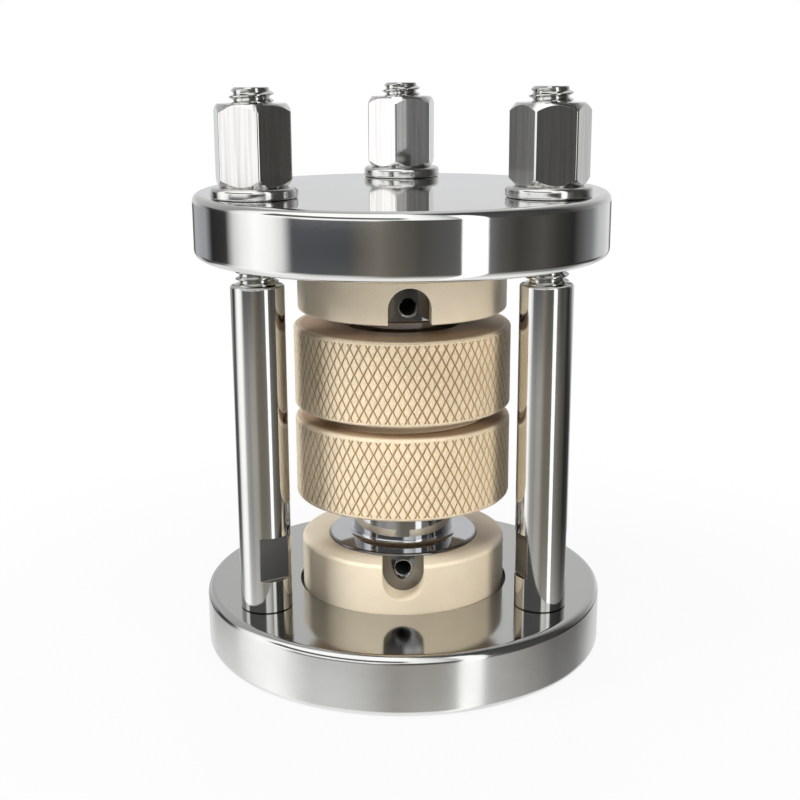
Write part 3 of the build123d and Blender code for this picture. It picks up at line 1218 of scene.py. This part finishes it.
class MOLD_OT_stage(bpy.types.Operator):
    """Set the floor, the studio light, its strip card and the camera"""

    bl_idname = "mold.stage"
    bl_label = "Stage"

    # What polished metal sees of the room, by azimuth in degrees: 0 towards the camera, + to its
    # right. Each stop has a brightness, where 1 is white, and a warmth from blue -1 to brown 1.
    # Many stops, most of all on the level ring, follow brightnesses that were read from the photo's
    # plates and posts.
    ceiling_ring = (
        (-180, 0.78, 0), (-125, 0.5, 0), (-108, 0.4, 0), (-98, 1.25, 0), (-84, 1.5, 0), (5, 1.5, 0),
        (20, 1.15, 0), (32, 0.55, 0), (44, 0.1, 0), (100, 0.06, 0), (118, 0.25, 0), (150, 0.75, 0),
        (180, 0.78, 0),
    )
    upper_ring = (
        (-180, 0.75, -0.1), (-150, 0.75, -0.1), (-135, 0.45, 0), (-125, 0.06, 0), (-110, 0.08, 0),
        (-106, 0.25, 0), (-101, 1.1, 0), (-84, 1.5, 0), (-66, 1.3, 0), (-61, 0.6, 0), (-54, 1.15, 0),
        (-49, 1.26, 0), (-14, 1.26, 0), (-8, 0.5, 0), (-2, 0.1, 0.3), (28, 0.09, 0.1), (38, 0.17, -0.1),
        (47, 0.2, 0), (60, 0.08, 0.3), (100, 0.06, 0.3), (108, 0.12, 0), (120, 0.3, 0), (132, 0.6, 0),
        (150, 0.8, -0.1), (180, 0.75, -0.1),
    )
    level_ring = (
        (-180, 0.12, 0), (-160, 0.12, 0), (-154, 0.5, -0.2), (-132, 0.42, -0.2), (-124, 0.03, 0),
        (-108, 0.05, 0), (-101, 0.9, 0), (-94, 1.25, 0), (-84, 1.5, 0), (-72, 1.28, 0), (-66, 1.0, 0),
        (-60, 0.11, -0.5), (-28, 0.09, -0.5), (-24, 0.12, 0.5), (-12, 0.21, 0.7), (-2, 0.15, 0.6),
        (10, 0.095, 0.4), (26, 0.135, 0), (47, 0.215, 0), (53, 0.12, 0.2), (64, 0.065, 0.4),
        (80, 0.11, 0.4), (92, 0.055, 0.4), (104, 0.03, 0), (114, 0.15, 0), (124, 0.28, -0.2),
        (133, 0.65, -0.2), (155, 0.9, 0), (161, 0.14, 0), (180, 0.12, 0),
    )
    low_ring = (
        (-180, 0.7, 0), (-152, 0.7, 0), (-142, 0.1, 0), (-128, 0.08, 0), (-114, 0.2, 0),
        (-107, 0.9, 0), (-98, 1.3, 0), (-84, 1.45, 0), (-73, 1.3, 0), (-66, 0.62, 0), (-58, 0.44, 0.15),
        (-46, 0.36, 0.2), (-34, 0.47, 0.2), (-20, 0.46, 0.4), (-10, 0.28, 0.6), (-3, 0.2, 0.9),
        (10, 0.19, 0.9), (24, 0.21, 0.7), (32, 0.25, 0.3), (48, 0.26, 0.3), (58, 0.2, 0.4),
        (66, 0.15, 0.5), (76, 0.115, 0.7), (86, 0.085, 0.5), (98, 0.03, 0.5), (116, 0.04, 0.5),
        (134, 0.08, 0), (150, 0.7, 0), (180, 0.7, 0),
    )
    floor_ring = (
        (-180, 0.9, 0), (-112, 1.0, 0), (-98, 1.25, 0), (-84, 1.42, 0), (-74, 1.3, 0), (-66, 1.1, 0),
        (-57, 0.88, 0), (-30, 0.82, 0), (-20, 0.7, 0.1), (-6, 0.44, 0.3), (8, 0.54, 0.2),
        (24, 0.56, 0.2), (32, 0.7, 0), (46, 0.7, 0), (60, 0.62, 0.1), (76, 0.45, 0.2), (97, 0.26, 0.1),
        (120, 0.32, 0), (140, 0.9, 0), (180, 0.9, 0),
    )

    # The rings from the ground up, each with the elevations in degrees between which it takes over
    rings = (
        (-52, -34, floor_ring),
        (-27, -19, low_ring),
        (-15, -8, level_ring),
        (-5.9, -5.5, upper_ring),
        (2, 9, ceiling_ring),
    )
    ground = 1.15
    brightest = 1.65
    redder = 0.14
    less_blue = 0.22

    # A dark patch of the room, above the camera and to its left: how bright it is, and the degrees
    # of elevation and of azimuth over which it fades in and out
    dark_patch = 0.15
    patch_heights = ((12, 16), (32, 38))
    patch_sides = ((-84, -78), (-2, 6))

    # The bright card that polished metal mirrors as a narrow upright band
    card_azimuth = math.radians(35.9)
    card_distance = 282 * MM
    card_width = 68 * MM
    card_height = 900 * MM

    # Lamps that light the plastic: azimuth and elevation in degrees, distance, width and height in
    # mm, warmth, and the share that each gives of the light that turns a white face white
    lamps = (
        ("key", -70, 30, 700, 240, 240, 0.0, 0.67),
        ("top", -10, 56, 700, 240, 240, 0.0, 0.39),
        ("upper_fill", 34, 30, 700, 240, 240, 1.0, 0.23),
        ("lower_fill", 39, 4, 500, 120, 240, 1.0, 0.39),
        ("back", 180, 25, 700, 400, 240, 0.0, 0.5),
    )
    lamp_target = Vector((0, 0, 45 * MM))
    less_green_light = 0.05
    less_blue_light = 0.13

    # Radius of the floor, the radii between which it fades to white, and how white it is within
    floor_radius = 6.0
    fade_start = 0.05
    fade_end = 0.16
    white_within = 0.93

    def execute(self, context):
        scene = context.scene
        self.make_world(scene)
        self.make_floor(scene)
        self.make_strip_card()
        for lamp in self.lamps:
            self.make_lamp(scene, *lamp)
        self.make_camera(scene)
        scene.view_settings.view_transform = "Standard"
        return {"FINISHED"}

    def above(self, z, start, end):
        """0 below one elevation in degrees, 1 above the other."""
        return z.between(math.sin(math.radians(start)), math.sin(math.radians(end)))

    def beyond(self, azimuth, start, end):
        """0 left of one azimuth in degrees, 1 right of the other."""
        return azimuth.between(start / 360 + 0.5, end / 360 + 0.5)

    def ring_of(self, nodes, azimuth, stops):
        """Colours of the room along one ring of azimuths."""
        placed_stops = []
        for degrees_round, brightness, warmth in stops:
            share = brightness / self.brightest
            tint = (share * (1 + self.redder * warmth), share, share * (1 - self.less_blue * warmth), 1)
            placed_stops.append((degrees_round / 360 + 0.5, tint))
        return nodes.node("ValToRGB", {"stops": placed_stops}, {"Fac": azimuth})

    def make_world(self, scene):
        """White for the camera, soft light on the mold, and a dim room for its metal to mirror."""
        world = bpy.data.worlds.new("studio")
        scene.world = world
        world.use_nodes = True
        nodes = Nodes(world.node_tree)
        x, y, z = nodes.parts_of(nodes.node("TexCoord", output="Generated"))
        azimuth = x.maths("ARCTAN2", x, y * -1) * (1 / math.tau) + 0.5
        room = shade(WHITE[:3], self.ground / self.brightest)
        for start, end, stops in self.rings:
            ring = self.ring_of(nodes, azimuth, stops)
            room = nodes.mixed(self.above(z, start, end), room, ring)
        (low, high), (left, right) = self.patch_heights, self.patch_sides
        dark = self.above(z, *low) * (1 - self.above(z, *high))
        dark = dark * self.beyond(azimuth, *left) * (1 - self.beyond(azimuth, *right))
        room = nodes.mixed(dark, room, shade(WHITE[:3], self.dark_patch / self.brightest))
        soft = nodes.glow("Background", WHITE, scene.mold_stage.ambient)
        white = nodes.glow("Background", WHITE, 1.0)
        mirrored = nodes.glow("Background", room, self.brightest)
        direct = 1 - nodes.node("LightPath", output="Diffuse Depth").between(0.0, 1.0)
        plain = nodes.mixed_shader(nodes.seen(), soft, white)
        either = nodes.mixed_shader(nodes.ray("Glossy") * direct, plain, mirrored)
        nodes.node("OutputWorld", inputs={"Surface": either})

    def make_floor(self, scene):
        """Pale floor that keeps the shadow and fades to white away from the mold."""
        form = bmesh.new()
        bmesh.ops.create_circle(form, cap_ends=True, segments=SMALL_STEPS, radius=self.floor_radius)
        floor = made_object(form, "floor")
        finish = Finish("pale_floor")
        away = finish.from_axis()[0].between(self.fade_start, self.fade_end)
        lift = finish.seen() * (away * (1 - self.white_within) + self.white_within)
        matt = finish.node("BsdfDiffuse", inputs={"Color": shade(scene.mold_colours.floor)})
        white = finish.glow("Emission", WHITE, 1.0)
        floor.data.materials.append(finish.closed(finish.mixed_shader(lift, matt, white)))
        floor.visible_glossy = False

    def make_strip_card(self):
        """Narrow bright card near the camera that only polished metal sees."""
        form = bmesh.new()
        bmesh.ops.create_grid(form, x_segments=1, y_segments=1, size=0.5)
        bmesh.ops.scale(form, vec=(self.card_width, self.card_height, 1), verts=form.verts)
        placed(form, Matrix.Translation((0, -self.card_distance, 0)) @ LAID_DOWN)
        placed(form, Matrix.Rotation(self.card_azimuth, 4, "Z"))
        card = made_object(form, "strip_card")
        finish = Finish("strip_card")
        finish.material.cycles.emission_sampling = "NONE"
        card.data.materials.append(finish.closed(finish.glow("Emission", WHITE, self.brightest)))
        card.visible_camera = False
        card.visible_diffuse = False
        card.visible_shadow = False
        card.visible_transmission = False

    def make_lamp(self, scene, name, azimuth, elevation, distance, width, tall, warmth, share):
        """Soft lamp that faces the mold and lights all but its mirrored metal."""
        reach = distance * MM
        around = Matrix.Rotation(math.radians(azimuth), 3, "Z")
        outward = around @ Matrix.Rotation(math.radians(-elevation), 3, "X")
        place = self.lamp_target + outward @ Vector((0, -reach, 0))
        lamp = bpy.data.lights.new(name, "AREA")
        lamp.shape = "RECTANGLE"
        lamp.size = width * MM
        lamp.size_y = tall * MM
        full_light = (math.pi * reach) ** 2
        lamp.energy = share * full_light
        lamp.color = (1, 1 - self.less_green_light * warmth, 1 - self.less_blue_light * warmth)
        holder = bpy.data.objects.new(name, lamp)
        scene.collection.objects.link(holder)
        holder.location = place
        holder.rotation_euler = (self.lamp_target - place).to_track_quat("-Z", "Y").to_euler()
        holder.visible_glossy = False

    def make_camera(self, scene):
        """Camera at the photograph's place."""
        sizes = scene.mold_stage
        camera = bpy.data.cameras.new("camera")
        camera.sensor_width = 36.0
        camera.lens = sizes.camera_lens
        camera.clip_start = 0.01
        holder = bpy.data.objects.new("camera", camera)
        scene.collection.objects.link(holder)
        place = Matrix.Translation((0, -sizes.camera_distance, sizes.camera_height))
        pan = Matrix.Rotation(sizes.camera_pan, 4, "Z")
        tilt = Matrix.Rotation(math.pi / 2 - sizes.camera_tilt, 4, "X")
        roll = Matrix.Rotation(sizes.camera_roll, 4, "Z")
        holder.matrix_world = place @ pan @ tilt @ roll
        scene.camera = holder


PIECES = (
    MOLD_OT_plates,
    MOLD_OT_posts,
    MOLD_OT_washers,
    MOLD_OT_hex_nuts,
    MOLD_OT_cups,
    MOLD_OT_electrodes,
    MOLD_OT_sealed_cell,
    MOLD_OT_ring_nuts,
    MOLD_OT_stage,
)
SETTINGS = {
    "mold_frame": FrameSizes,
    "mold_cell": CellSizes,
    "mold_colours": Colours,
    "mold_stage": StageSizes,
}


class MOLD_PT_panel(bpy.types.Panel):
    """Sizes, colours and steps of the test mold"""

    bl_idname = "MOLD_PT_panel"
    bl_label = "Test Mold"
    bl_space_type = "VIEW_3D"
    bl_region_type = "UI"
    bl_category = "Test Mold"

    def draw(self, context):
        for piece in PIECES:
            self.layout.operator(piece.bl_idname)
        for name, group in SETTINGS.items():
            box = self.layout.box()
            for field in group.__annotations__:
                box.prop(getattr(context.scene, name), field)


def register():
    for group in SETTINGS.values():
        bpy.utils.register_class(group)
    for name, group in SETTINGS.items():
        setattr(bpy.types.Scene, name, bpy.props.PointerProperty(type=group))
    for piece in PIECES:
        bpy.utils.register_class(piece)
    bpy.utils.register_class(MOLD_PT_panel)


def unregister():
    bpy.utils.unregister_class(MOLD_PT_panel)
    for piece in reversed(PIECES):
        bpy.utils.unregister_class(piece)
    for name, group in reversed(SETTINGS.items()):
        delattr(bpy.types.Scene, name)
        bpy.utils.unregister_class(group)


def main():
    """Make every piece and the stage."""
    register()
    bpy.ops.mold.plates()
    bpy.ops.mold.posts()
    bpy.ops.mold.washers()
    bpy.ops.mold.hex_nuts()
    bpy.ops.mold.cups()
    bpy.ops.mold.electrodes()
    bpy.ops.mold.sealed_cell()
    bpy.ops.mold.ring_nuts()
    bpy.ops.mold.stage()


if __name__ == "__main__":
    main()
